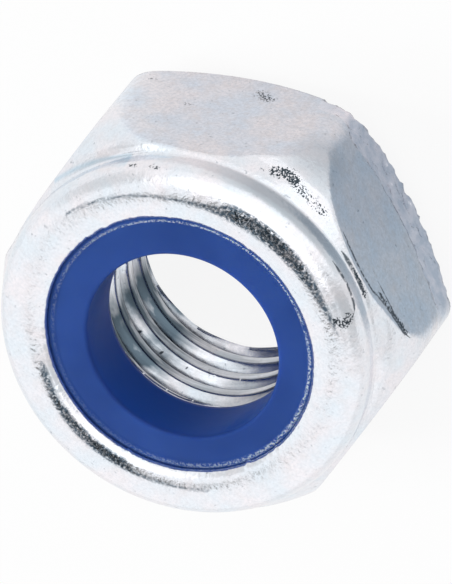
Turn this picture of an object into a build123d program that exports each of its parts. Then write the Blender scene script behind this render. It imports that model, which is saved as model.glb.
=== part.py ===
# Self-locking hexagon nut: a cold-formed steel body with a rolled collar, and a nylon ring
# that the collar holds down on top of the thread.
# All sizes are in millimetres. The nut stands on its bearing face. The origin is the centre of
# that face, +Z runs up the thread's axis to the collar, and +X meets the middle of a flat.

import os
from math import radians, sqrt, tan

from build123d import *

# Thread: a metric 60 degree thread, cut right through the steel below the ring
thread_diameter = 12.0
thread_pitch = 1.75
thread_height = 7.3  # from the bearing face up to the ring's seat
thread_start = 0.25  # where the groove begins around the hole, in turns from a flat
tapping_allowance = 0.16  # how far the hole is bored past the basic crest, within tolerance 6H
countersink_margin = 0.1  # how much wider than the thread it is, all round
countersink_angle = 120.0  # between its two sides
lead_in_width = 0.45  # chamfer of the hole's wall at the ring's seat
lead_in_angle = 90.0  # between its two sides

# Nylon ring
ring_seat_width = 1.65  # from the thread's root out to the recess's wall
ring_side_height = 2.42  # from the seat up to the ring's sloping shoulder
ring_clearance = 0.03  # between the ring and the steel around it
ring_grip = 0.36  # how far the ring's bore stands inside the thread's crest
ring_bore_rounding = 0.15
ring_face_rise = 0.15  # from the lip's lower edge up to the ring's open face

# Rolled collar
collar_wall = 1.65  # from the recess out to the collar's side
collar_height = 1.95  # from the crease above the hexagon to the crown
collar_foot = 1.5  # how far the collar's solid reaches down inside the hexagon
roll_radius = 1.15  # outer rounding of the roll
crown_width = 0.7  # level ring on top of the roll
lip_overhang = 0.88  # how far the lip reaches in over the ring
lip_root_thickness = 1.4  # from the crown down to where the lip leaves the recess's wall
lip_drop = 0.29  # from the crown down to the lip's edge
lip_edge_thickness = 0.36

# Hexagon
flat_margin = 0.2  # how far each flat stands outside the collar
corner_radius = 1.5  # rounding of the six upright edges
bearing_inset = 1.0  # from a flat in to the ring that the nut rests on
bearing_edge_height = 2.0  # how far up the corners the bearing side is rounded off
bearing_edge_bulge = 0.05  # how far that rounding stands out from a straight chamfer
corner_band_height = 1.2  # the stretch of each corner between the two rounded ends
corner_skim = 0.03  # how far the turned outline stands outside the corners there

# Radii that follow from these sizes, from the thread outwards
major_radius = thread_diameter / 2
sharp_thread_depth = thread_pitch * sqrt(3) / 2
crest_radius = major_radius - sharp_thread_depth * 5 / 8 + tapping_allowance
recess_radius = major_radius + ring_seat_width
lip_radius = recess_radius - lip_overhang
collar_radius = recess_radius + collar_wall
flat_radius = collar_radius + flat_margin
bearing_radius = flat_radius - bearing_inset
corner_reach = (flat_radius - corner_radius) * 2 / sqrt(3) + corner_radius

# Heights that follow from these sizes, from the ring's seat upwards
lip_root_height = thread_height + ring_side_height + ring_clearance
nut_height = lip_root_height + lip_root_thickness
hexagon_height = nut_height - collar_height
lip_edge_top = nut_height - lip_drop
lip_edge_bottom = lip_edge_top - lip_edge_thickness
past_end = 1.0  # how far each cut runs on past the end of the nut


def turn(*edges):
    """Turns an outline, drawn as radius and height, one full turn about the thread's axis."""
    section = Plane.XZ * make_face(Wire(edges))
    return revolve(section, Axis.Z)


def make_hexagon():
    """A hexagonal prism with rounded corners, whose two ends are turned to a rounded shape."""
    outline = RegularPolygon(flat_radius, 6, major_radius=False, rotation=30)
    prism = extrude(fillet(outline.vertices(), corner_radius), hexagon_height)
    side = corner_reach + corner_skim
    shoulder_start = bearing_edge_height + corner_band_height
    bearing_edge = (bearing_radius, 0)
    bearing_round = SagittaArc(bearing_edge, (side, bearing_edge_height), -bearing_edge_bulge)
    shoulder = EllipticalCenterArc(
        (collar_radius, shoulder_start),
        side - collar_radius,
        hexagon_height - shoulder_start,
        arc_size=90,
    )
    envelope = turn(
        Line((0, 0), bearing_edge),
        bearing_round,
        Line((side, bearing_edge_height), (side, shoulder_start)),
        shoulder,
        Line((collar_radius, hexagon_height), (0, hexagon_height)),
        Line((0, hexagon_height), (0, 0)),
    )
    return prism & envelope


def make_collar():
    """The collar's outer shape: a short cylinder whose top is rolled inwards to a thin lip."""
    foot = hexagon_height - collar_foot
    roll_start = nut_height - roll_radius
    crown_outer = collar_radius - roll_radius
    crown_inner = crown_outer - crown_width
    return turn(
        Line((0, foot), (collar_radius, foot)),
        Line((collar_radius, foot), (collar_radius, roll_start)),
        CenterArc((crown_outer, roll_start), roll_radius, 0, 90),
        Line((crown_outer, nut_height), (crown_inner, nut_height)),
        Line((crown_inner, nut_height), (lip_radius, lip_edge_top)),
        Line((lip_radius, lip_edge_top), (0, lip_edge_top)),
        Line((0, lip_edge_top), (0, foot)),
    )


def make_recess():
    """The space for the ring: the thread's lead-in, the seat, the recess and its open mouth."""
    lead_in_depth = lead_in_width / tan(radians(lead_in_angle / 2))
    corners = [
        (0, thread_height - lead_in_depth),
        (crest_radius, thread_height - lead_in_depth),
        (crest_radius + lead_in_width, thread_height),
        (recess_radius, thread_height),
        (recess_radius, lip_root_height),
        (lip_radius, lip_edge_bottom),
        (lip_radius, nut_height + past_end),
        (0, nut_height + past_end),
    ]
    return turn(*Polyline(*corners, close=True).edges())


def make_countersink():
    """The wide cone at the bearing face, which the bolt's end enters first."""
    slope = tan(radians(countersink_angle / 2))
    base_radius = major_radius + countersink_margin + past_end * slope
    corners = [
        (0, -past_end),
        (base_radius, -past_end),
        (0, base_radius / slope - past_end),
    ]
    return turn(*Polyline(*corners, close=True).edges())


def make_bore():
    """The plain hole whose wall is the thread's crest."""
    upwards = (Align.CENTER, Align.CENTER, Align.MIN)
    length = nut_height + 2 * past_end
    return Pos(0, 0, -past_end) * Cylinder(crest_radius, length, align=upwards)


def make_thread_groove():
    """The helical groove: its flanks stand at 60 degrees and its root is an eighth of a pitch."""
    flank = tan(radians(30))
    overlap = thread_pitch / 8  # how far the cutter starts inside the hole's wall
    inner_radius = crest_radius - overlap
    root_half_width = thread_pitch / 16
    mouth_half_width = root_half_width + (major_radius - inner_radius) * flank
    start = -thread_pitch * (1 + thread_start)
    path = Helix(thread_pitch, thread_height + 2 * thread_pitch, inner_radius, center=(0, 0, start))
    cutter = Plane.XZ * make_face(
        Polyline(
            (inner_radius, start - mouth_half_width),
            (major_radius, start - root_half_width),
            (major_radius, start + root_half_width),
            (inner_radius, start + mouth_half_width),
            close=True,
        )
    )
    return sweep(cutter, path=path, is_frenet=True)


def make_steel_body():
    """The whole steel body: hexagon and collar in one, hollowed and threaded."""
    blank = make_hexagon() + make_collar() - make_recess() - make_countersink()
    # The groove is cut before the hole: its flanks then end on the hole's wall
    return blank - make_thread_groove() - make_bore()


def make_nylon_ring():
    """The locking ring: it fills the recess under the lip, and its bore is smooth."""
    bore_radius = crest_radius - ring_grip
    outer_radius = recess_radius - ring_clearance
    face_radius = lip_radius - ring_clearance
    shoulder_height = thread_height + ring_side_height
    face_edge_height = lip_edge_bottom - ring_clearance
    face_height = lip_edge_bottom + ring_face_rise
    rounding_start = face_height - ring_bore_rounding
    return turn(
        Line((bore_radius, thread_height), (outer_radius, thread_height)),
        Line((outer_radius, thread_height), (outer_radius, shoulder_height)),
        Line((outer_radius, shoulder_height), (face_radius, face_edge_height)),
        Line((face_radius, face_edge_height), (face_radius, face_height)),
        Line((face_radius, face_height), (bore_radius + ring_bore_rounding, face_height)),
        CenterArc((bore_radius + ring_bore_rounding, rounding_start), ring_bore_rounding, 90, 90),
        Line((bore_radius, rounding_start), (bore_radius, thread_height)),
    )


pieces = {
    "steel_body": make_steel_body(),
    "nylon_ring": make_nylon_ring(),
}

os.makedirs("parts", exist_ok=True)
for name, piece in pieces.items():
    export_step(piece, f"parts/{name}.step")
    print(name, "volume", round(piece.volume, 2), "valid", piece.is_valid)
print("across flats", round(2 * flat_radius, 3), "height", round(nut_height, 3))
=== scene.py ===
# %% [markdown]
# # A self-locking hexagon nut
# The nut is two pieces: a zinc-plated steel body, whose round collar is rolled inwards, and a
# blue nylon ring that the collar holds down on top of the thread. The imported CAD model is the
# frame: it says where each piece is and how large. This lesson builds the two pieces that are
# looked at, in their own places, and gives each its finish.

# %% Load the frame
from math import atan2, cos, degrees, hypot, pi, radians, sin, sqrt, tan, tau

import bmesh
import bpy
from mathutils import Matrix, Vector, noise
from mathutils.geometry import intersect_point_line


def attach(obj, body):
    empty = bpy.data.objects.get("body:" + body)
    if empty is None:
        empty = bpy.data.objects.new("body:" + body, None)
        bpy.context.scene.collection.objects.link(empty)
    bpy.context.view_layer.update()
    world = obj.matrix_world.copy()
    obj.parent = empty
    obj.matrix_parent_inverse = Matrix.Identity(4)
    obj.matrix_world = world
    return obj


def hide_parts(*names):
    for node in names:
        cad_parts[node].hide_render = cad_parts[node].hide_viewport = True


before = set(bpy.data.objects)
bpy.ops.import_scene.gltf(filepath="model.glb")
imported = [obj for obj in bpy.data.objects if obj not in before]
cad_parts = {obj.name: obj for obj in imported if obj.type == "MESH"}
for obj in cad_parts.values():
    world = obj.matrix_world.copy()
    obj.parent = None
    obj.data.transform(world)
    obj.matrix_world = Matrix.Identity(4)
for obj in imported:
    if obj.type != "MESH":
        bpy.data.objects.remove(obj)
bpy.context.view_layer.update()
print("nodes", sorted(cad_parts))

# %% [markdown]
# ## Sizes
# The shapes are drawn in millimetres, as on a drawing, and made metres when they are finished.
# The nut stands on its bearing face, and the thread's axis is the Z axis. The names are the ones
# that a nut maker uses: the flats are the six sides for the wrench, the crown is the top of the
# rolled collar, and the lip is its inner edge.

# %% Sizes of the steel body, in millimetres
bearing_radius = 8.5
bearing_edge_height = 2.0
corner_side = 10.768  # the turned outline just outside the corners
shoulder_start = 3.2  # where the corners start to round over towards the collar
hexagon_height = 9.2
collar_radius = 9.3
nut_height = 11.15
lip_radius = 6.72
lip_root_height = 9.75
recess_radius = 7.65
seat_height = 7.3  # where the thread ends and the ring sits
root_radius = 6.0  # the bottom of the thread's groove
crest_radius = 5.213
countersink_radius = 6.1
print("height", nut_height, "across the corners' outline", 2 * corner_side)

# %% [markdown]
# ## Drawing an outline
# A turned part is easiest to draw as half of its section and then spin about the axis. The tip of
# the drawing is one vertex. A straight stretch extrudes it again and again, and an arc spins it
# about the arc's centre, so that the outline has many short edges where the shape is going to be
# bent later.

# %% Draw the hexagon's part of the outline
def line_to(bm, tip, radius, height, steps=1, bulge=0.0):
    """Extrudes the tip to a new place, in equal steps, bulging sideways if asked."""
    start = tip.co.copy()
    way = Vector((radius, 0, height)) - start
    sideways = Vector((way.z, 0, -way.x)).normalized() * bulge
    for step in range(1, steps + 1):
        share = step / steps
        tip = bmesh.ops.extrude_vert_indiv(bm, verts=[tip])["verts"][0]
        tip.co = start + way * share + sideways * 4 * share * (1 - share)
    return tip


shoulder_bend = (10.1, 8.3)  # where the steep side of the shoulder turns into its shelf
body = bmesh.new()
first = body.verts.new((countersink_radius, 0, 0))
tip = line_to(body, first, bearing_radius - 0.12, 0, 4)
tip = line_to(body, tip, bearing_radius + 0.06, 0.09, 3, 0.03)
tip = line_to(body, tip, corner_side, bearing_edge_height, 22, 0.04)
tip = line_to(body, tip, corner_side, shoulder_start, 8)
tip = line_to(body, tip, *shoulder_bend, 30, 0.34)
tip = line_to(body, tip, collar_radius + 0.04, hexagon_height + 0.12, 12, 0.03)
tip = line_to(body, tip, collar_radius, hexagon_height + 0.24, 2)
print("the outline is at radius", round(tip.co.x, 2), "and height", round(tip.co.z, 2))

# %% [markdown]
# ## The rolled collar
# A press rolls the collar's thin wall inwards over the ring. The roll isn't one circle: it leaves
# the collar's side in a tight arc, runs almost flat over the crown and then bends sharply down to
# the nylon. Each arc starts where the one before it ends and leans the same way, so the outline
# has no kink that the plating's mirror would show.

# %% Draw the rolled collar
roll_radius = 1.15
roll_depth = 1.223  # from the crown down to the middle of the roll
crown_middle = 7.66  # the highest circle of the collar
crown_tilt = 17  # how far the crown leans, in degrees, where the tighter roundings begin
inner_crown_bend = 2.1
lip_slope = 52  # how steeply, in degrees, the lip falls to the nylon
lip_bend = 0.55  # the radius between the crown and that slope


def arc_to(bm, tip, centre, angle, steps):
    """Spins the tip about the arc's centre."""
    middle = (centre[0], 0, centre[1])
    made = bmesh.ops.spin(
        bm, geom=[tip], cent=middle, axis=(0, -1, 0), angle=radians(angle), steps=steps
    )
    return [v for v in made["geom_last"] if isinstance(v, bmesh.types.BMVert)][0]


roll_middle = (collar_radius - roll_radius, nut_height - roll_depth)
tip = line_to(body, tip, collar_radius, roll_middle[1], 4)
tip = arc_to(body, tip, roll_middle, 90 - crown_tilt, 18)
leaning = Vector((-sin(radians(crown_tilt)), 0, cos(radians(crown_tilt))))
outer_crown_bend = (tip.co.x - crown_middle) / -leaning.x
tip = arc_to(body, tip, (crown_middle, tip.co.z - outer_crown_bend * leaning.z), crown_tilt, 8)
tip = arc_to(body, tip, (crown_middle, tip.co.z - inner_crown_bend), crown_tilt, 6)
lip_middle = tip.co - leaning * lip_bend
tip = arc_to(body, tip, (lip_middle.x, lip_middle.z), lip_slope - crown_tilt, 5)
tip = line_to(body, tip, lip_radius, nut_height - 0.5, 3, 0.02)
tip = line_to(body, tip, lip_radius + 0.06, nut_height - 0.65, 2)
print("crown at height", round(max(v.co.z for v in body.verts), 3), "lip at radius", lip_radius)

# %% [markdown]
# ## The steel body
# The real body is pressed from a slug of steel, bored, threaded and plated, and last its collar is
# rolled over the ring. All of it is round apart from the hexagon and the thread. So one closed
# outline is spun, and the hexagon and the thread are then pressed into its many small faces. One
# mesh with no cuts keeps every edge soft, as pressed and plated steel is. Only one wedge is spun
# in small steps. It is then copied round the full turn, which is much quicker.

# %% Draw the hole and spin the steel body
def close_and_spin(bm, tip, first, wedges, steps):
    """Closes the outline, spins one wedge of it and copies the wedge round the full turn."""
    bm.edges.new((tip, first))
    about = {"cent": (0, 0, 0), "axis": (0, 0, 1)}
    bmesh.ops.spin(bm, geom=bm.verts[:] + bm.edges[:], angle=tau / wedges, steps=steps, **about)
    wedge = bm.verts[:] + bm.edges[:] + bm.faces[:]
    rest = tau * (wedges - 1) / wedges
    bmesh.ops.spin(bm, geom=wedge, angle=rest, steps=wedges - 1, use_duplicate=True, **about)
    bmesh.ops.remove_doubles(bm, verts=bm.verts, dist=0.0005)
    bmesh.ops.recalc_face_normals(bm, faces=bm.faces)
    loose = [e for e in bm.edges if not e.link_faces]
    print("vertices", len(bm.verts), "faces", len(bm.faces), "loose edges", len(loose))


tip = line_to(body, tip, recess_radius, lip_root_height, 3)
tip = line_to(body, tip, recess_radius, seat_height, 2)
tip = line_to(body, tip, root_radius + 0.1, seat_height, 2)
tip = line_to(body, tip, crest_radius, seat_height, 1)
tip = line_to(body, tip, crest_radius, 0.02, 100)
close_and_spin(body, tip, first, 16, 24)

# %% [markdown]
# ## The hexagon
# A hexagon with rounded corners is, seen from its axis, a distance that changes with direction.
# Near the middle of a flat it is the flat's own distance, and round a corner it is the distance to
# a small circle. Every vertex of the hexagon's part is going to be pulled in to that distance.

# %% The reach of the rounded hexagon
flat_radius = 9.5
corner_radius = 1.5


def hexagon_reach(angle):
    """How far the rounded hexagon reaches from the axis in a direction, with a flat at angle 0."""
    from_flat = abs((angle + pi / 6) % (pi / 3) - pi / 6)
    if flat_radius * tan(from_flat) <= (flat_radius - corner_radius) * tan(pi / 6):
        return flat_radius / cos(from_flat)
    corner_centre = (flat_radius - corner_radius) / cos(pi / 6)
    from_corner = pi / 6 - from_flat
    across = corner_centre * sin(from_corner)
    return corner_centre * cos(from_corner) + sqrt(corner_radius**2 - across**2)


print("across flats", 2 * flat_radius, "across corners", round(2 * hexagon_reach(pi / 6), 3))

# %% [markdown]
# Where the turned outline and the hexagon are nearly equally far out, a soft minimum blends them.
# That leaves the rounded edges of a pressed nut. The press didn't fill its die quite evenly, so the
# shoulder is higher in some places than in others, and one corner leans in a little.

# %% Press the six flats
shoulder_waves = ((104, -0.45), (140, 0.35), (44, -0.2))  # direction in degrees, and rise
wave_half_width = 15
leaning_corner = 202  # its direction in degrees
leaning_half_width = 26
leaning_depth = 0.22


def soft_min(a, b, softness):
    """The smaller of two values, blended where they differ by less than the softness."""
    return min(a, b) - max(softness - abs(a - b), 0) ** 2 / (4 * softness)


def ramp(value, start, end):
    """How far a value is on the way from a start to an end, from 0 to 1."""
    return min(max((value - start) / (end - start), 0), 1)


def hump(value, middle, half_width):
    """A round hump: 1 at its middle, and 0 from half its width on."""
    away = (value - middle) / half_width
    return max(1 - away * away, 0)


def set_radius(vertex, radius):
    """Moves a vertex straight out from the axis to a radius."""
    now = hypot(vertex.co.x, vertex.co.y)
    vertex.co.x *= radius / now
    vertex.co.y *= radius / now


def around(vertex):
    """A vertex's direction from the axis, in degrees from 0 to 360, and its radius."""
    x, y, z = vertex.co
    return degrees(atan2(y, x)) % 360, hypot(x, y)


pressed = 0
for vertex in body.verts:
    turned, radius = around(vertex)
    if radius > bearing_radius and vertex.co.z < hexagon_height + 0.02:
        flat = soft_min(radius, hexagon_reach(radians(turned)), 0.09)
        high = ramp(vertex.co.z, 4.5, 6.5) * ramp(vertex.co.z, hexagon_height + 0.1, hexagon_height - 0.4)
        leaned = leaning_depth * hump(turned, leaning_corner, leaning_half_width)
        set_radius(vertex, flat - high * leaned)
        for middle, rise in shoulder_waves:
            vertex.co.z += high * rise * hump(turned, middle, wave_half_width) ** 2
        pressed += 1
print("vertices in the hexagon", pressed)

# %% [markdown]
# ## The thread
# The thread is a groove that climbs one pitch in each turn. Around the hole, the groove's height
# is the angle's share of the pitch, so the wall's radius at any place follows from how far that
# place is above or below the groove. The two flanks stand at 60 degrees to each other.

# %% The wall of the threaded hole
thread_pitch = 1.75
thread_start = -2.1875  # the height at which the groove crosses the X axis
lead_in_width = 0.45


def wall_radius(angle, height):
    """The radius of the threaded wall at an angle and a height."""
    turns_up = ((height - thread_start) / thread_pitch - angle / tau) % 1
    from_root = min(turns_up, 1 - turns_up) * thread_pitch
    flank = root_radius - max(from_root - thread_pitch / 16, 0) / tan(radians(30))
    thread = -soft_min(-flank, -crest_radius, 0.10)
    countersink = countersink_radius - height * tan(radians(60))
    lead_in = crest_radius + lead_in_width - (seat_height - height)
    return min(-soft_min(-thread, -max(countersink, lead_in), 0.06), countersink_radius)


print("wall radius over one pitch", [round(wall_radius(0, 3 + i * thread_pitch / 6), 2) for i in range(6)])

# %% [markdown]
# A groove that crosses the rows of vertices at a slant would get ragged edges. So the rows are
# first slid up or down until they climb with the thread, and then they are pushed out to the wall.

# %% Cut the thread
row_height = thread_pitch / 24
threaded = []
for vertex in body.verts:
    if hypot(vertex.co.x, vertex.co.y) < crest_radius + 0.01:
        angle = atan2(vertex.co.y, vertex.co.x)
        if 0.1 < vertex.co.z < seat_height - 0.1:
            climbed = thread_start + angle / tau * thread_pitch
            vertex.co.z = climbed + round((vertex.co.z - climbed) / row_height) * row_height
        set_radius(vertex, wall_radius(angle, vertex.co.z))
        threaded.append(vertex)
walls = [f for f in {f for v in threaded for f in v.link_faces} if len(f.verts) == 4]
bmesh.ops.triangulate(body, faces=walls, quad_method="SHORT_EDGE")
print("vertices in the thread", len(threaded))

# %% [markdown]
# ## Where the finish changes, and where shade is painted
# The nut was pressed, barrelled and plated in bulk, so its finish isn't the same all over, and a
# few places also get painted shade or a painted reflection. How much of each a place has is kept
# as a value on its vertices, and the plating reads it later. First come the flanks, which keep the
# press's rougher skin, and the painted shade over part of the thread.

# %% Flanks and the thread's painted shade
flank_layer = body.verts.layers.float.new("flank")
thread_shade_layer = body.verts.layers.float.new("thread_shade")
# The loop marks the flanks and the thread's painted shade: full from 230 to 265 degrees, fading in from
# 215 and down to 0.4 past 280.
for vertex in body.verts:
    turned, radius = around(vertex)
    if bearing_radius < radius and vertex.co.z < 9.1:
        if radius > hexagon_reach(radians(turned)) - 0.03:
            vertex[flank_layer] = 1
    if radius < root_radius + 0.05 and vertex.co.z < seat_height:
        vertex[thread_shade_layer] = ramp(turned, 215, 230) * (1 - 0.6 * ramp(turned, 265, 280))
print("flank vertices", sum(v[flank_layer] for v in body.verts))

# %% [markdown]
# The crown gets a painted dark reflection in two long arcs, where it mirrors the dark camera. Each
# arc is listed as places with an inner and an outer radius, and between two places both change evenly.

# %% Painted dark reflection on the crown
dark_reflection_layer = body.verts.layers.float.new("dark_reflection")
dark_reflection_arcs = [
    [
        (46, 8.25, 8.3), (52, 8.1, 8.3), (60, 7.95, 8.27), (75, 7.75, 8.45), (90, 7.68, 8.52),
        (103, 7.67, 8.52), (108, 7.72, 8.1), (120, 7.78, 7.92), (140, 8.0, 8.1), (165, 8.25, 8.35),
    ],
    [
        (228, 7.1, 7.2), (232, 7.02, 7.38), (245, 7.15, 7.5), (255, 7.05, 7.62), (280, 7.05, 7.62),
        (285, 7.4, 7.6), (300, 7.48, 7.6), (315, 7.58, 7.68),
    ],
]


def dark_reflection_at(turned, radius):
    """How much painted dark reflection the crown has in a direction, in degrees, at a radius."""
    for arc in dark_reflection_arcs:
        for (from_turn, low_a, high_a), (to_turn, low_b, high_b) in zip(arc, arc[1:]):
            if from_turn <= turned < to_turn:
                share = (turned - from_turn) / (to_turn - from_turn)
                low = low_a + (low_b - low_a) * share
                high = high_a + (high_b - high_a) * share
                return min(max(min(radius - low, high - radius) / 0.1 + 0.5, 0), 1)
    return 0


# Painted dark reflection on the crown, in the two arcs.
for vertex in body.verts:
    turned, radius = around(vertex)
    if vertex.co.z > lip_root_height + 0.1 and 6.9 < radius < 8.7:
        vertex[dark_reflection_layer] = dark_reflection_at(turned, radius)
print("darkened vertices", sum(v[dark_reflection_layer] > 0 for v in body.verts))

# %% [markdown]
# Deep between the collar and the shoulder the plating gets painted grey shade, and so it does
# beside one corner and on a short stretch of the roll. One narrow crease at the collar's foot gets a
# painted shade tinted pale blue instead. These are soft patches, so each is a product of humps and
# ramps.

# %% Painted grey shade, and the crease's painted pale blue shade
grey_shade_layer = body.verts.layers.float.new("grey_shade")
crease_shade_layer = body.verts.layers.float.new("crease")


def grey_shade_at(turned, radius, height):
    """How much painted grey shade a place gets, from 0 to 1."""
    if 48 < turned < 64 and 8.4 < radius < 9.25 and height > 10.3:
        return 0.4 * hump(turned, 56, 8) * ramp(radius, 8.4, 8.7)
    if radius > 9.9 and 4.5 < height < 8.4:
        return 0.55 * hump(turned, 89.5, 9.5) * ramp(height, 8.4, 7.6) * ramp(height, 4.5, 6.0)
    if collar_radius - 0.2 < radius < collar_radius + 0.02 and 9.4 < height < 10.6:
        sideways = ramp(abs(turned - 88), 31, 11)
        return sideways * ramp(height, 9.4, 9.5) * ramp(height, 10.6, 10.35)
    return 0


# Painted grey shade, and a painted shade tinted pale blue along one crease.
for vertex in body.verts:
    turned, radius = around(vertex)
    vertex[grey_shade_layer] = grey_shade_at(turned, radius, vertex.co.z)
    if 140 < turned < 168 and 9.2 < radius < 9.8 and vertex.co.z > 8.8:
        off_crease = abs(radius - 9.36 - 0.01 * (turned - 142))
        vertex[crease_shade_layer] = ramp(off_crease, 0.14, 0)
print("grey vertices", sum(v[grey_shade_layer] > 0 for v in body.verts))

# %% [markdown]
# A few fine dark lines run along the shoulder and the roll. They are thinner than the mesh's faces,
# so a value that is 1 on the line and 0 beside it would come out as a row of dots. Each vertex
# gets its distance from the line instead, with a sign for the side. That changes evenly across a
# face, and the plating draws a crisp line wherever it is near zero.

# %% Distances from the fine lines
mark_layer = body.verts.layers.float.new("mark")
second_layer = body.verts.layers.float.new("second")
off_every_line = 5
# Places as direction in degrees and height, and as direction and radius for the crease
edge_line = [
    (34, 7.2), (37.2, 7.71), (42.5, 7.98), (48.4, 8.25), (52.8, 8.63), (58.4, 8.77), (63.1, 8.77),
    (73, 8.6),
]
flat_line = [(36, 7.57), (41.9, 7.71), (54, 7.76)]
roll_line = [(50.3, 10.62), (52.8, 10.33), (55.6, 10.24), (60.3, 10.16), (69, 10.21)]
crease_line = [(53, 9.41), (69, 9.41)]


def beside(line, turned, value):
    """How far a height or radius is from a line's, growing quickly near the line's two ends."""
    for (from_turn, from_value), (to_turn, to_value) in zip(line, line[1:]):
        if from_turn <= turned < to_turn:
            share = (turned - from_turn) / (to_turn - from_turn)
            from_end = min(turned - line[0][0], line[-1][0] - turned)
            return (value - from_value - (to_value - from_value) * share) * max(4 - from_end, 1)
    return off_every_line


for vertex in body.verts:
    turned, radius = around(vertex)
    height = vertex.co.z
    vertex[mark_layer] = vertex[second_layer] = off_every_line
    if radius > 9.45 and 6.5 < height < 9.14:
        vertex[mark_layer] = beside(edge_line, turned, height)
        vertex[second_layer] = beside(flat_line, turned, height)
    elif radius > 9.32 and height > 9.0:
        vertex[mark_layer] = beside(crease_line, turned, radius)
    elif radius > 9.0 and height > 9.8:
        vertex[mark_layer] = beside(roll_line, turned, height)
print("vertices beside a line", sum(abs(v[mark_layer]) < 0.1 for v in body.verts))

# %% [markdown]
# ## The tear
# One flat was torn along the bearing side when the hexagon was sheared. The torn band follows an
# uneven edge, and inside it the metal broke away in chips that meet in sharp ridges. The absolute
# value of a smooth noise has just such ridges, wherever the noise passes through zero.

# %% Tear one flat
torn_layer = body.verts.layers.float.new("torn")
torn_flat = radians(60)
tear_start = -5.4  # along the flat, from its middle
tear_end = 6.6
tear_fade = 0.8


def torn_share(along, height):
    """How deep inside the torn band a place on the flat is, from 0 to 1."""
    edge = 2.9 + 0.04 * along**2 - 1.1 * max(along - 4.6, 0)
    edge += 0.12 * noise.noise(Vector((along, 0, 5)))
    ends = min((along - tear_start) / tear_fade, 1) * min((tear_end - along) / tear_fade, 1)
    return ramp(height, edge, edge - 0.18) * ends


def chip_depth(along, height):
    """The depth of the tear: large and small chips that meet in sharp ridges."""
    place = Vector((along, height, 0))
    return 0.05 + 0.30 * abs(noise.noise(place * 1.1)) + 0.13 * abs(noise.noise(place * 3.0))


deepest = 0
for vertex in body.verts:
    x, y, height = vertex.co
    out = x * cos(torn_flat) + y * sin(torn_flat)
    along = y * cos(torn_flat) - x * sin(torn_flat)
    if out > 8.0 and height < 4.2 and tear_start < along < tear_end:
        share = torn_share(along, height)
        depth = share * chip_depth(along, height)
        vertex[torn_layer] = share
        set_radius(vertex, hypot(x, y) - depth)
        deepest = max(deepest, depth)
print("torn vertices", sum(v[torn_layer] > 0 for v in body.verts), "deepest", round(deepest, 2))

# %% [markdown]
# The lip is slightly wavy where the rolling tool pressed it, with a few sharper nicks, and it
# stands a little to one side of the hole.

# %% Waves and nicks of the lip
wave_height = 0.03
nick_depth = 0.14
lip_shift = 0.05
wavy = 0
for vertex in body.verts:
    radius = hypot(vertex.co.x, vertex.co.y)
    if radius < 7.2 and vertex.co.z > lip_root_height + 0.1:
        direction = Vector((vertex.co.x, vertex.co.y, 0)) / radius
        wave = noise.noise(direction * 4) * wave_height
        nick = max(noise.noise((direction + Vector((0, 0, 0.7))) * 22) - 0.25, 0) * nick_depth
        inward = min((7.2 - radius) / 0.3, 1)
        set_radius(vertex, radius + inward * (wave - nick - lip_shift * direction.y))
        wavy += 1
print("vertices in the lip", wavy)

# %% [markdown]
# Dark plating residue sits in a few shallow hollows. Each patch is a short chain of straight
# stretches, and a place has the more residue the nearer it is to the chain.

# %% Hollows with residue
stain_layer = body.verts.layers.float.new("stain")
hollow_depth = 0.03
# Half width, strength and corners, each as direction in degrees, radius and height
stain_lines = [
    (0.20, 0.95, [(98.0, 9.88, 8.70), (94.4, 10.00, 8.46), (91.6, 9.94, 8.60)]),
    (0.12, 0.75, [(101.5, 9.80, 8.82), (98.0, 9.85, 8.75)]),
    (0.17, 0.62, [(91.6, 9.92, 8.62), (88.4, 9.84, 8.77)]),
    (0.15, 0.50, [(88.4, 9.84, 8.77), (80.0, 9.78, 8.86)]),
    (0.16, 0.75, [(51.2, 8.39, 11.12), (49.4, 8.80, 10.95), (51.5, 9.02, 10.75)]),
    (0.07, 0.85, [(60.6, 9.42, 9.18), (53.1, 9.40, 9.21)]),
    (0.12, 0.85, [(50.0, 9.70, 8.10), (44.0, 9.95, 7.88), (36.5, 10.28, 7.50)]),
    (0.22, 0.52, [(115.5, 9.54, 2.15), (112.5, 9.57, 2.55)]),
    (0.07, 0.70, [(146.6, 10.59, 2.7), (145.6, 10.5, 2.8)]),
    (0.07, 0.70, [(133.4, 9.74, 4.4), (132.8, 9.74, 4.6)]),
    (0.08, 0.60, [(138.5, 9.26, 10.3), (137.0, 9.26, 10.32)]),
    (0.08, 0.60, [(131.5, 9.2, 10.45), (129.5, 9.2, 10.5)]),
]


def place_on(turned, radius, height):
    """A place given by its direction from the axis in degrees, its radius and its height."""
    return Vector((radius * cos(radians(turned)), radius * sin(radians(turned)), height))


def stain_at(place):
    """How much residue a place has, from 0 to 1."""
    most = 0
    for width, strength, corners in stain_lines:
        points = [place_on(*corner) for corner in corners]
        for start, end in zip(points, points[1:]):
            nearest, share = intersect_point_line(place, start, end)
            nearest = start if share < 0 else end if share > 1 else nearest
            inside = min(2 - (place - nearest).length / width, 1)
            most = max(most, inside * strength)
    return most


for vertex in body.verts:
    turned, radius = around(vertex)
    if radius > 8.2 and 30 < turned < 170:
        vertex[stain_layer] = stain_at(vertex.co)
        if radius > 9.0:
            set_radius(vertex, radius - hollow_depth * vertex[stain_layer])
print("stained vertices", sum(v[stain_layer] > 0 for v in body.verts))

# %% [markdown]
# ## Finishing a piece
# A finished mesh is scaled from millimetres to metres and put in an object at the origin, as the
# CAD's own nodes are. Its faces are smooth, apart from edges that turn sharply.

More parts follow.
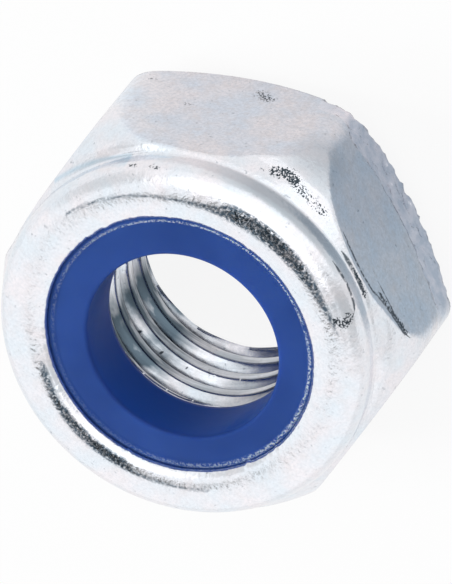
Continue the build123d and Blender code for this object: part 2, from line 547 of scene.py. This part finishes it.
# %% Make the steel body from its mesh
def finish_piece(bm, name, node, sharp):
    """Turns a finished bmesh into an object that stands for a CAD node."""
    bmesh.ops.scale(bm, vec=(0.001, 0.001, 0.001), verts=bm.verts)
    bmesh.ops.recalc_face_normals(bm, faces=bm.faces)
    mesh = bpy.data.meshes.new(name)
    bm.to_mesh(mesh)
    bm.free()
    mesh.shade_smooth()
    mesh.set_sharp_from_angle(angle=radians(sharp))
    piece = bpy.data.objects.new(name, mesh)
    bpy.context.scene.collection.objects.link(piece)
    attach(piece, "root")
    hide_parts(node)
    mesh.calc_loop_triangles()
    print(name, "triangles", len(mesh.loop_triangles))
    return piece


steel = finish_piece(body, "plated_body", "steel_body", 65)

# %% [markdown]
# ## The nylon ring
# The ring is moulded, and the rolled lip presses its edge down, so its open face is slightly
# crowned and its inner edge is well rounded. It is drawn and spun in the same way as the body.

# %% Draw and spin the nylon ring
bore_radius = 4.85
face_height = 10.65
ring_side = 7.62
ring_side_height = 9.72
ring = bmesh.new()
first = ring.verts.new((bore_radius + 0.1, 0, seat_height))
tip = line_to(ring, first, ring_side, seat_height, 4)
tip = line_to(ring, tip, ring_side, ring_side_height, 3)
tip = line_to(ring, tip, 6.77, face_height - 0.12, 5)
tip = line_to(ring, tip, 6.70, face_height - 0.08, 2)
tip = line_to(ring, tip, 6.5, face_height - 0.02, 3, 0.02)
tip = line_to(ring, tip, 6.36, face_height - 0.06, 3)
tip = line_to(ring, tip, bore_radius + 0.14, face_height, 16, 0.02)
tip = line_to(ring, tip, bore_radius, face_height - 0.14, 5, 0.03)
tip = line_to(ring, tip, bore_radius, seat_height + 0.1, 14)
close_and_spin(ring, tip, first, 16, 20)

# %% [markdown]
# The lip scraped the ring as it was rolled, which left a raised and whitened rim, wider on one
# side. It also pushed the ring's edge a little to one side. The bore is slightly off the middle.
# Both the scuffed rim and the bore get values that the nylon's colour reads.

# %% Scuff the rim and shift the bore
scuff_layer = ring.verts.layers.float.new("scuff")
bore_layer = ring.verts.layers.float.new("bore")
rim_radius = 6.50
bore_shift = place_on(325, 0.2, 0)
for vertex in ring.verts:
    turned, radius = around(vertex)
    rim_width = 0.08 + 0.05 * max(cos(radians(turned - 320)), 0)
    rim = 1 - abs(radius - rim_radius + 0.06 * cos(radians(turned - 150))) / rim_width
    if rim > 0 and vertex.co.z > face_height - 0.3:
        strength = min(max(0.65 + 0.6 * cos(radians(turned - 65)), 0.1), 1)
        vertex[scuff_layer] = min(2 * rim, 1) * strength
        vertex.co.z += 0.03 * rim * noise.noise(vertex.co * 3)
    if radius > 6.3 and vertex.co.z > 10:
        pushed = lip_shift * min((radius - 6.3) / 0.3, 1)
        set_radius(vertex, radius - pushed * sin(radians(turned)))
    vertex.co += bore_shift * ramp(radius, 6.4, bore_radius)
    if radius < bore_radius + 0.15:
        vertex[bore_layer] = ramp(vertex.co.z, face_height - 0.12, face_height - 0.32)
print("scuffed vertices", sum(v[scuff_layer] > 0 for v in ring.verts))
nylon = finish_piece(ring, "locking_ring", "nylon_ring", 50)

# %% [markdown]
# ## Zinc plating
# Zinc plating is a thin bright metal layer with a faint blue tint. Up close it isn't even: it
# shows soft patches, a fine grain, dark specks and small pits. A picture would stretch over the
# turned shape, so the material is made from noise on the object's own coordinates, in
# millimetres. It then stays in place from any side.

# %% Start a material
def new_material(name):
    """A node material with only its shader and output."""
    material = bpy.data.materials.new(name)
    material.use_nodes = True
    tree = material.node_tree
    shader = tree.nodes["Principled BSDF"]
    return material, tree, shader


def add(tree, kind, **values):
    """Adds a node and sets its properties and its input sockets by name."""
    node = tree.nodes.new(kind)
    for key, value in values.items():
        if hasattr(node, key):
            setattr(node, key, value)
        else:
            node.inputs[key.replace("_", " ")].default_value = value
    return node


def object_millimetres(tree, stretch=(1, 1, 1)):
    """The place on the object in millimetres, stretched if asked."""
    place = add(tree, "ShaderNodeTexCoord")
    mapping = add(tree, "ShaderNodeMapping", Scale=[1000 * s for s in stretch])
    tree.links.new(place.outputs["Object"], mapping.inputs["Vector"])
    return mapping.outputs["Vector"]


zinc, tree, shader = new_material("zinc_plating")
shader.inputs["Metallic"].default_value = 1.0
place = object_millimetres(tree)
print(zinc.name, "starts with", len(tree.nodes), "nodes")

# %% [markdown]
# Four small helpers are enough for all that follows: a range that a value is stretched to, noise
# of a given size, the value that the vertices carry, and the Math node's sums. A colour is then
# built up in coats, each blended over the last by how much of it there is.

# %% Helpers for the coats
def stretched(tree, value, low, high, kind="LINEAR"):
    """A value from 0 at low to 1 at high, and level outside."""
    shaped = add(tree, "ShaderNodeMapRange", From_Min=low, From_Max=high, interpolation_type=kind)
    tree.links.new(value, shaped.inputs["Value"])
    return shaped.outputs["Result"]


def speckle(tree, place, scale, detail, low, high):
    """Noise at so many grains per millimetre, stretched to run from 0 at low to 1 at high."""
    grain = add(tree, "ShaderNodeTexNoise", Scale=scale, Detail=detail)
    tree.links.new(place, grain.inputs["Vector"])
    return stretched(tree, grain.outputs["Fac"], low, high)


def attribute(tree, name):
    """The value that each vertex carries under a name."""
    return add(tree, "ShaderNodeAttribute", attribute_name=name).outputs["Fac"]


def calculate(tree, operation, *values, clamp=True):
    """One of the Math node's sums on values or sockets, kept between 0 and 1 unless asked."""
    node = add(tree, "ShaderNodeMath", operation=operation, use_clamp=clamp)
    for socket, value in zip(node.inputs, values):
        if isinstance(value, (int, float)):
            socket.default_value = value
        else:
            tree.links.new(value, socket)
    return node.outputs["Value"]


def blend(tree, share, first, second):
    """Blends two colours, or colour sockets, by a share."""
    node = add(tree, "ShaderNodeMix", data_type="RGBA")
    tree.links.new(share, node.inputs["Factor"])
    for name, value in (("A", first), ("B", second)):
        if isinstance(value, tuple):
            node.inputs[name].default_value = (*value, 1)
        else:
            tree.links.new(value, node.inputs[name])
    return node.outputs["Result"]


def coat(tree, colour, amount, strength, over):
    """Lays a coat of a colour over what is there, by an amount times a strength."""
    return blend(tree, calculate(tree, "MULTIPLY", amount, strength), colour, over)


patches = speckle(tree, place, 0.55, 5.0, 0.36, 0.64)
print("patches are about", round(1 / 0.55, 1), "mm wide")

# %% [markdown]
# The bright metal drifts between a bluish and a faintly rosy white. On the flanks the drift and
# the grain are stronger, because the press left them rougher than the turned collar.

# %% Bright metal
flank_blue, flank_rose = (0.78, 0.85, 0.94), (0.92, 0.89, 0.91)
collar_blue, collar_rose = (0.81, 0.87, 0.93), (0.91, 0.88, 0.91)
grain_grey, tint_brown, speck_grey = (0.56, 0.61, 0.68), (0.68, 0.65, 0.65), (0.25, 0.29, 0.34)
flank = attribute(tree, "flank")
on_flank = blend(tree, patches, flank_blue, flank_rose)
elsewhere = blend(tree, patches, collar_blue, collar_rose)
colour = blend(tree, flank, elsewhere, on_flank)
texture = calculate(tree, "MULTIPLY_ADD", flank, 0.5, 0.5)
fine = calculate(tree, "MULTIPLY", speckle(tree, place, 7.0, 3.0, 0.34, 0.66), texture)
colour = coat(tree, colour, fine, 0.45, grain_grey)
tints = calculate(tree, "MULTIPLY", speckle(tree, place, 2.4, 5.0, 0.48, 0.66), texture)
colour = coat(tree, colour, tints, 0.32, tint_brown)
colour = coat(tree, colour, speckle(tree, place, 3.6, 3.0, 0.66, 0.76), 0.55, speck_grey)
print("bright metal takes", len(tree.nodes), "nodes")

# %% [markdown]
# The tear's chips are paler than the plating around them, up to white, and that pale end is a
# painted highlight on the tilted chips. In the thread, the painted shade runs in streaks along the
# groove, so their noise is squeezed in height. The painted grey shade, the crease's painted pale blue
# shade and the crown's painted dark reflection come next, each by the value that its vertices carry.

# %% Tear highlight, thread shade, grey shade and crown reflection, all painted
chip_grey, chip_highlight_white = (0.76, 0.79, 0.87), (1.0, 0.96, 1.0)
thread_shade_grey, streaked_shade_grey, grey_shade_colour = (0.09, 0.125, 0.155), (0.05, 0.07, 0.09), (0.42, 0.47, 0.52)
crease_shade_blue, reflected_dark_blue = (0.52, 0.68, 0.80), (0.04, 0.085, 0.13)
# Painted highlight: the tear's chips pale up to white.
chips_with_highlight = blend(tree, speckle(tree, place, 1.6, 4.0, 0.38, 0.62), chip_grey, chip_highlight_white)
colour = blend(tree, attribute(tree, "torn"), colour, chips_with_highlight)
# Painted shade over part of the thread, streaked along the groove.
thread_shade = attribute(tree, "thread_shade")
streaks = speckle(tree, object_millimetres(tree, (1, 1, 4)), 0.5, 4.0, 0.28, 0.56)
thread_shaded = calculate(tree, "MULTIPLY", thread_shade, calculate(tree, "MAXIMUM", streaks, 0.4))
colour = blend(tree, thread_shaded, colour, thread_shade_grey)
scores = speckle(tree, object_millimetres(tree, (0.3, 0.3, 8)), 1.0, 3.0, 0.42, 0.60)
colour = coat(tree, colour, calculate(tree, "MULTIPLY", thread_shade, scores), 0.45, streaked_shade_grey)
# Painted grey shade, then the crease's painted pale blue shade.
colour = coat(tree, colour, attribute(tree, "grey_shade"), 0.8, grey_shade_colour)
colour = coat(tree, colour, attribute(tree, "crease"), 0.8, crease_shade_blue)
# Painted dark reflection on the crown, broken into grains.
uneven = speckle(tree, place, 7.0, 3.0, 0.28, 0.56)
dark_reflection = calculate(tree, "MULTIPLY", attribute(tree, "dark_reflection"), uneven)
colour = coat(tree, colour, dark_reflection, 0.92, reflected_dark_blue)
print("with the worn places", len(tree.nodes), "nodes")

# %% [markdown]
# Residue dries in grains: where there is little of it, bright metal shows between them. Taking a
# fine noise away from the amount, and making what is left four times as strong, gives hard-edged
# grains that close up where there is more. The fine lines are drawn where their distance is near
# zero, and a second noise makes their width uneven.

# %% Residue and fine lines
residue_grey, line_grey = (0.045, 0.06, 0.075), (0.05, 0.07, 0.09)
bare = speckle(tree, place, 11.0, 2.0, 0.64, 0.38)
residue = calculate(tree, "SUBTRACT", attribute(tree, "stain"), bare)
colour = coat(tree, colour, residue, 4.0, residue_grey)
for name, width in (("mark", 0.07), ("second", 0.04)):
    off_line = calculate(tree, "ABSOLUTE", attribute(tree, name))
    on_line = stretched(tree, off_line, 1.6 * width, 0.6 * width)
    broken = calculate(tree, "MULTIPLY", on_line, speckle(tree, place, 5.0, 2.0, 0.30, 0.50))
    colour = coat(tree, colour, broken, 0.9, line_grey)
tree.links.new(colour, shader.inputs["Base Color"])
print("the colour takes", len(tree.nodes), "nodes")

# %% [markdown]
# The plating's mirror is soft and uneven. Its roughness drifts a little, and two bumps bend it:
# wide shallow ones, like the skin of an orange, and small pits from the barrel. The tap left the
# thread smoother than the pressed outside, so both bumps fade out there.

# %% Gloss and bumps of the plating
drift = speckle(tree, place, 1.1, 4.0, 0.3, 0.7)
gloss = add(tree, "ShaderNodeMapRange", To_Min=0.13, To_Max=0.25)
tree.links.new(drift, gloss.inputs["Value"])
tree.links.new(gloss.outputs["Result"], shader.inputs["Roughness"])
smoothed = calculate(tree, "MULTIPLY", calculate(tree, "MULTIPLY", thread_shade, 2.5), 0.85)
quiet = calculate(tree, "SUBTRACT", 1.0, smoothed)
peel = add(tree, "ShaderNodeBump", Strength=0.28, Distance=0.00006)
heights = calculate(tree, "MULTIPLY", speckle(tree, place, 1.6, 3.0, 0.0, 1.0), quiet)
tree.links.new(heights, peel.inputs["Height"])
pits = add(tree, "ShaderNodeBump", Strength=0.55, Distance=0.00003)
heights = calculate(tree, "MULTIPLY", speckle(tree, place, 4.5, 2.0, 0.0, 1.0), quiet)
tree.links.new(heights, pits.inputs["Height"])
tree.links.new(peel.outputs["Normal"], pits.inputs["Normal"])
tree.links.new(pits.outputs["Normal"], shader.inputs["Normal"])
steel.data.materials.append(zinc)
print(zinc.name, "is on", steel.name)

# %% [markdown]
# ## Blue nylon
# Nylon is a smooth plastic that light enters a little way, so its shadows are soft and tinted.
# Subsurface scattering does that, with a blue that travels further than the red. The real ring
# hardly mirrors the studio, so its specular level is low. Inside the bore light comes through the
# nylon, and a purer blue stands for that. The scuffed rim is whitened in grains.

# %% Blue nylon
nylon_blue, deep_blue = (0.030, 0.080, 0.31), (0.018, 0.050, 0.20)
bore_blue, scuff_white = (0.0, 0.065, 0.36), (0.55, 0.63, 0.75)
plastic, tree, shader = new_material("moulded_nylon")
place = object_millimetres(tree)
depths = calculate(tree, "MULTIPLY", speckle(tree, place, 0.22, 2.0, 0.42, 0.62), 0.5)
colour = blend(tree, depths, nylon_blue, deep_blue)
colour = blend(tree, attribute(tree, "bore"), colour, bore_blue)
grains = speckle(tree, place, 12.0, 2.0, 0.44, 0.58)
scuffed = calculate(tree, "MULTIPLY", attribute(tree, "scuff"), grains)
colour = blend(tree, scuffed, colour, scuff_white)
tree.links.new(colour, shader.inputs["Base Color"])
shader.inputs["Roughness"].default_value = 0.34
shader.inputs["Specular IOR Level"].default_value = 0.06
shader.inputs["IOR"].default_value = 1.53
shader.inputs["Subsurface Weight"].default_value = 0.5
shader.inputs["Subsurface Radius"].default_value = (0.3, 0.6, 1.6)
shader.inputs["Subsurface Scale"].default_value = 0.001
moulded = add(tree, "ShaderNodeBump", Strength=0.3, Distance=0.00003)
tree.links.new(speckle(tree, place, 1.5, 2.0, 0.0, 1.0), moulded.inputs["Height"])
tree.links.new(moulded.outputs["Normal"], shader.inputs["Normal"])
nylon.data.materials.append(plastic)
print(plastic.name, "is on", nylon.name, "with", len(tree.nodes), "nodes")

# %% [markdown]
# ## The studio
# The nut stands on a pale floor under soft light. The background is white because the floor and
# the world say so to the camera and to reflections, not because of more light on the nut.

# %% Floor
floor_mesh = bmesh.new()
bmesh.ops.create_grid(floor_mesh, x_segments=2, y_segments=2, size=1.5)
mesh = bpy.data.meshes.new("studio_floor")
floor_mesh.to_mesh(mesh)
floor_mesh.free()
floor = bpy.data.objects.new("studio_floor", mesh)
bpy.context.scene.collection.objects.link(floor)
floor.location.z = -0.00002
print(floor.name, "lies", round(-floor.location.z * 1000, 3), "mm under the nut")

# %% [markdown]
# The floor's paper mixes its own matt surface, which takes the nut's shadow, with an even white
# that only camera and glossy rays see. Two soft discs behind the nut, away from the lamps, are
# painted shade on that white, seen only by glossy rays: one is a wide warm shade, the other a
# smaller blue one. They stand in for the nut's shadow on the floor, and the plating mirrors them,
# which gives the metal its shape.

# %% Paper of the floor
# Middle x and y, full inside this radius, gone past that one, all in millimetres, depth and tint
painted_floor_shades = (
    (-3.0, 15.0, 9.0, 15.0, 0.26, (0.13, 0.02, 0.04)),
    (8.5, 12.5, 6.0, 10.0, 0.62, (0.02, 0.14, 0.25)),
)
paper, tree, shader = new_material("pale_floor")
shader.inputs["Base Color"].default_value = (0.88, 0.88, 0.88, 1)
shader.inputs["Roughness"].default_value = 0.9
shader.inputs["Specular IOR Level"].default_value = 0.0
rays = add(tree, "ShaderNodeLightPath")
white = add(tree, "ShaderNodeEmission", Strength=1.0)
colour = (1.0, 1.0, 1.0)
# Painted shade on the floor's white, seen only by glossy rays.
for x, y, full, gone, depth, tint in painted_floor_shades:
    centred = add(tree, "ShaderNodeMapping", Location=(-x, -y, 0), Scale=(1000, 1000, 1000))
    tree.links.new(add(tree, "ShaderNodeTexCoord").outputs["Object"], centred.inputs["Vector"])
    away = add(tree, "ShaderNodeVectorMath", operation="LENGTH")
    tree.links.new(centred.outputs["Vector"], away.inputs[0])
    disc = stretched(tree, away.outputs["Value"], gone, full, "SMOOTHSTEP")
    shade = calculate(tree, "MULTIPLY", disc, rays.outputs["Is Glossy Ray"])
    colour = coat(tree, colour, shade, depth, tint)
tree.links.new(colour, white.inputs["Color"])
for_camera = calculate(tree, "MULTIPLY", rays.outputs["Is Camera Ray"], 0.88)
for_both = calculate(tree, "MULTIPLY_ADD", rays.outputs["Is Glossy Ray"], 0.7, for_camera)
mix = add(tree, "ShaderNodeMixShader")
tree.links.new(for_both, mix.inputs["Fac"])
tree.links.new(shader.outputs["BSDF"], mix.inputs[1])
tree.links.new(white.outputs["Emission"], mix.inputs[2])
tree.links.new(mix.outputs["Shader"], tree.nodes["Material Output"].inputs["Surface"])
floor.data.materials.append(paper)
print(paper.name, "has", len(painted_floor_shades), "shades")

# %% [markdown]
# ## The sky that the plating mirrors
# Polished metal looks like what stands around it. In a studio that is a big bright softbox, a
# few dim corners, and the dark camera, which makes the dark arcs on the crown. Each is a soft
# ellipse in the sky, placed by the x and y of its direction, as if the sky were seen from above.

# %% A patch of the sky
world = bpy.data.worlds.new("studio")
world.use_nodes = True
bpy.context.scene.world = world
tree = world.node_tree
direction = add(tree, "ShaderNodeTexCoord").outputs["Generated"]


def sky_patch(x, y, length, width, turn, edge):
    """A soft-edged ellipse in the sky: 1 inside, 0 outside, turned by so many degrees."""
    shift = add(tree, "ShaderNodeMapping", Location=(-x, -y, 0))
    tree.links.new(direction, shift.inputs["Vector"])
    shape = add(tree, "ShaderNodeMapping", Rotation=(0, 0, -radians(turn)))
    tree.links.new(shift.outputs["Vector"], shape.inputs["Vector"])
    sized = add(tree, "ShaderNodeMapping", Scale=(1 / length, 1 / width, 0))
    tree.links.new(shape.outputs["Vector"], sized.inputs["Vector"])
    distance = add(tree, "ShaderNodeVectorMath", operation="LENGTH")
    tree.links.new(sized.outputs["Vector"], distance.inputs[0])
    return stretched(tree, distance.outputs["Value"], 1 + edge / 2, 1 - edge / 2, "SMOOTHSTEP")


def combine(operation, first, second):
    """One of the Math node's sums in the sky, where a level may pass 1."""
    return calculate(tree, operation, first, second, clamp=False)


softbox = sky_patch(-0.12, 0.38, 0.55, 0.42, 0, 0.5)
back_strip = sky_patch(0.15, 0.93, 0.5, 0.15, 0, 0.8)
camera_shade = sky_patch(0.01, -0.22, 0.105, 0.235, 0, 0.25)
left_tail = sky_patch(-0.20, -0.42, 0.17, 0.022, 10, 1.2)
right_tail = sky_patch(0.21, -0.26, 0.15, 0.022, 45, 1.2)
print("patches use", len(tree.nodes), "nodes")

# %% [markdown]
# The bright patches are added to an even level, and the dim and dark ones are multiplied in, so
# that a dark place stays dark wherever it lies. Only glossy rays see this sky. The camera sees
# plain white, and the light that falls on rough surfaces is even and a bit lower.

# %% Levels of the sky
plain_level = 1.07
# Direction's x and y, radius and depth
dim_corners = ((0.75, 0.43, 0.32, 0.35), (-0.87, 0.0, 0.30, 0.25), (0.40, 0.0, 0.14, 0.4))
mirrored = combine("ADD", combine("MULTIPLY", softbox, 0.45), plain_level)
mirrored = combine("ADD", combine("MULTIPLY", back_strip, 0.15), mirrored)
for x, y, size, depth in dim_corners:
    dim = combine("MULTIPLY", sky_patch(x, y, size, size, 0, 1.2), depth)
    mirrored = combine("MULTIPLY", mirrored, combine("SUBTRACT", 1.0, dim))
dark = combine("MAXIMUM", combine("MAXIMUM", camera_shade, left_tail), right_tail)
lit = combine("SUBTRACT", 1.0, combine("MULTIPLY", dark, 0.97))
mirrored = combine("MULTIPLY", mirrored, lit)
rays = add(tree, "ShaderNodeLightPath")
plain = combine("MAXIMUM", rays.outputs["Is Camera Ray"], rays.outputs["Is Transmission Ray"])
level = combine("ADD", 0.6, combine("MULTIPLY", plain, 0.4))
choose = add(tree, "ShaderNodeMix", data_type="FLOAT")
tree.links.new(rays.outputs["Is Glossy Ray"], choose.inputs["Factor"])
tree.links.new(level, choose.inputs["A"])
tree.links.new(mirrored, choose.inputs["B"])
background = tree.nodes["Background"]
background.inputs["Color"].default_value = (1, 1, 1, 1)
tree.links.new(choose.outputs["Result"], background.inputs["Strength"])
print(world.name, "has", len(tree.nodes), "nodes")

# %% [markdown]
# ## Lamps
# Two soft square lamps light the nylon and the floor. A metal shows lamps only as mirror images,
# and the sky has its softbox already, so the lamps are hidden from glossy rays.

# %% Lamps
def add_softbox(name, azimuth, elevation, distance, size, power):
    """A square soft lamp that points at the nut and isn't mirrored in the plating."""
    lamp = bpy.data.lights.new(name, "AREA")
    lamp.size = size
    lamp.energy = power
    level = cos(radians(elevation))
    way = Vector((level * cos(radians(azimuth)), level * sin(radians(azimuth)), sin(radians(elevation))))
    holder = bpy.data.objects.new(name, lamp)
    holder.location = way * distance
    holder.rotation_euler = way.to_track_quat("Z", "Y").to_euler()
    holder.visible_glossy = False
    bpy.context.scene.collection.objects.link(holder)
    print(name, "is", distance, "m away, with", power, "W")


add_softbox("key_softbox", 215, 42, 0.5, 0.25, 1.1)
add_softbox("top_softbox", 110, 65, 0.6, 0.3, 0.6)

# %% [markdown]
# ## The camera
# The camera's place was fitted to the outlines in the photograph. It looks down into the collar
# from about 57 degrees above the floor, with a long lens, and it is turned about its own axis, so
# that the nut's axis leans to the lower left.

# %% Camera
camera = bpy.data.cameras.new("camera")
camera.lens = 493.15
camera.sensor_width = 36
camera.clip_start = 0.01
camera.clip_end = 10
viewer = bpy.data.objects.new("camera", camera)
right = Vector((0.79774, 0.50319, -0.33228)).normalized()
forward = Vector((-0.00138, -0.54953, -0.83547)).normalized()
up = right.cross(forward).normalized()
right = forward.cross(up)
turn = Matrix((right, up, -forward)).transposed().to_4x4()
viewer.matrix_world = Matrix.Translation(Vector((0.000801, 0.211883, 0.326849))) @ turn
bpy.context.scene.collection.objects.link(viewer)
bpy.context.scene.camera = viewer
bpy.context.scene.view_settings.view_transform = "Standard"
print("camera direction", [round(v, 4) for v in forward], "up", [round(v, 4) for v in up])
